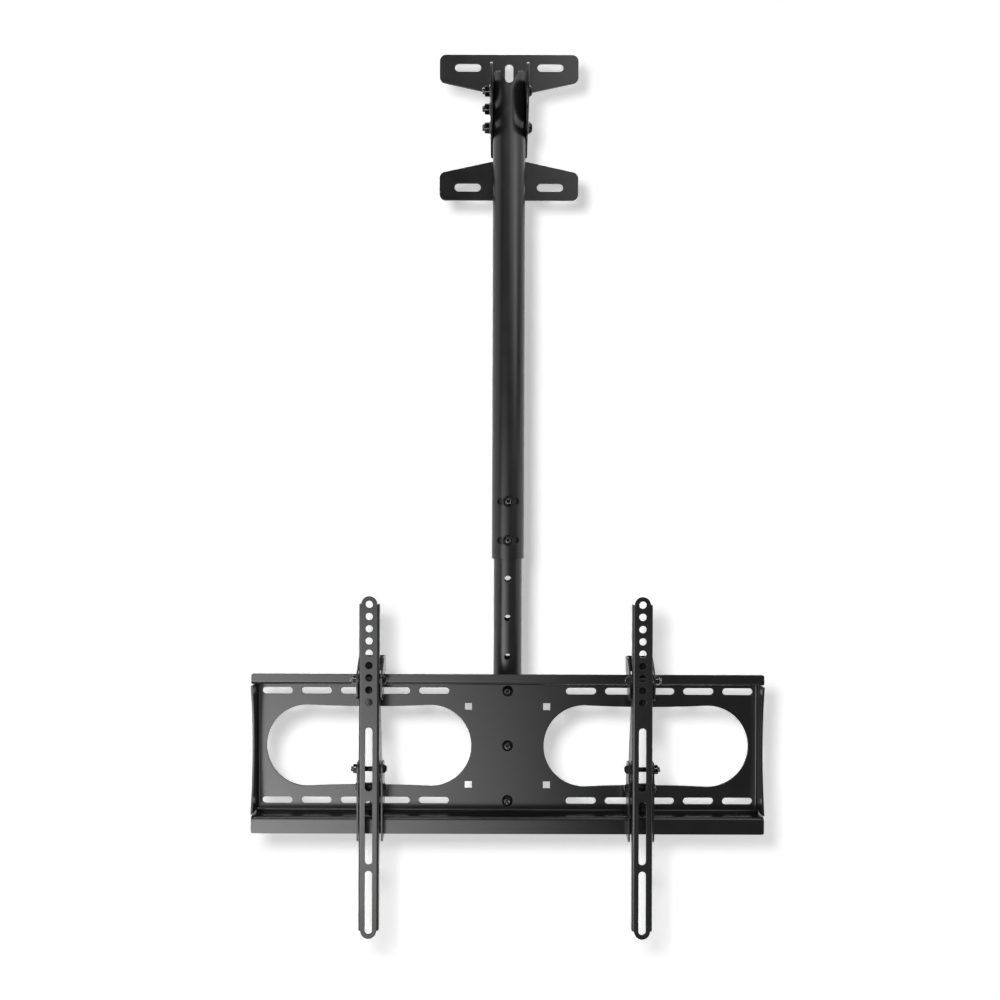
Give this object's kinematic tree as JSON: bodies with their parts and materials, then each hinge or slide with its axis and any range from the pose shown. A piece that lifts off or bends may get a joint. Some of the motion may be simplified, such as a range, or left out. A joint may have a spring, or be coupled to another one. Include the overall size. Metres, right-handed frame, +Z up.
{
  "type": "ceiling tv mount",
  "caption": "Black steel ceiling mount for a flat television: slotted ceiling plate with ears, telescopic swivelling pole, wide screen plate and hook-on tilting arms.",
  "frame": {"origin": "centre of the ceiling plate's back face", "axes": "+Z up along the pole toward the pivot, -Y toward the viewer and the screen, +X to the viewer's right"},
  "size_m": [0.642, 0.1045, 1.1323],
  "materials": {
    "plate_paint": "satin powder coat",
    "tube_paint": "satin powder coat",
    "arm_paint": "satin powder coat",
    "hook_paint": "satin powder coat",
    "bolt_black": "black oxide",
    "nut_black": "black oxide",
    "washer_black": "black oxide",
    "spacer_black": "black oxide",
    "cap_plastic": "moulded black"
  },
  "bodies": {
    "ceiling_bracket": {"ceiling_plate": "plate_paint", "pivot_bolt": "bolt_black", "pivot_nut": "nut_black", "pivot_washers": "washer_black"},
    "pole": {"outer_tube": "tube_paint", "lock_bolt": "bolt_black", "lock_nut": "nut_black", "lock_washers": "washer_black", "clamp_bolt": "bolt_black", "clamp_nut": "nut_black", "clamp_washer": "washer_black"},
    "height_pins": {"height_bolts": "bolt_black", "height_nuts": "nut_black"},
    "drop": {"lower_tube": "tube_paint", "lower_tube_cap": "cap_plastic", "screen_plate": "plate_paint", "plate_bolts": "bolt_black", "plate_nuts": "nut_black", "plate_saddles": "spacer_black"},
    "left_hook": {"left_upper_hook": "hook_paint", "left_bracket_plates": "hook_paint", "left_spacer": "spacer_black", "left_tilt_bolt": "bolt_black", "left_tilt_nut": "nut_black", "left_tilt_washers": "washer_black", "left_guide_bolt": "bolt_black", "left_guide_nut": "nut_black", "left_guide_washers": "washer_black", "left_spacer_bolt": "bolt_black", "left_spacer_nut": "nut_black", "left_spacer_washers": "washer_black"},
    "left_tilt_arm": {"left_arm": "arm_paint"},
    "right_hook": {"right_upper_hook": "hook_paint", "right_bracket_plates": "hook_paint", "right_spacer": "spacer_black", "right_tilt_bolt": "bolt_black", "right_tilt_nut": "nut_black", "right_tilt_washers": "washer_black", "right_guide_bolt": "bolt_black", "right_guide_nut": "nut_black", "right_guide_washers": "washer_black", "right_spacer_bolt": "bolt_black", "right_spacer_nut": "nut_black", "right_spacer_washers": "washer_black"},
    "right_tilt_arm": {"right_arm": "arm_paint"}
  },
  "joints": [
    {"name": "ceiling_pivot", "type": "hinge", "parent": "ceiling_bracket", "child": "pole", "pos_m": [0, -0.0305, 0.0365], "axis": [-1, 0, 0], "range_deg": [0, 90]},
    {"name": "pole_swivel", "type": "hinge", "parent": "pole", "child": "height_pins", "pos_m": [0, -0.0305, -0.549], "axis": [0, 0, 1], "range_deg": [-30, 30]},
    {"name": "pole_height", "type": "slide", "parent": "height_pins", "child": "drop", "axis": [0, 0, 1], "range_m": [-0.15, 0.15]},
    {"name": "left_arm_slide", "type": "slide", "parent": "drop", "child": "left_hook", "axis": [1, 0, 0], "range_m": [-0.13, 0.07]},
    {"name": "left_arm_tilt", "type": "hinge", "parent": "left_hook", "child": "left_tilt_arm", "pos_m": [-0.1703, -0.0975, -0.7195], "axis": [1, 0, 0], "range_deg": [-6, 3]},
    {"name": "right_arm_slide", "type": "slide", "parent": "drop", "child": "right_hook", "axis": [1, 0, 0], "range_m": [-0.065, 0.135]},
    {"name": "right_arm_tilt", "type": "hinge", "parent": "right_hook", "child": "right_tilt_arm", "pos_m": [0.1652, -0.0975, -0.7195], "axis": [1, 0, 0], "range_deg": [-6, 3]}
  ]
}
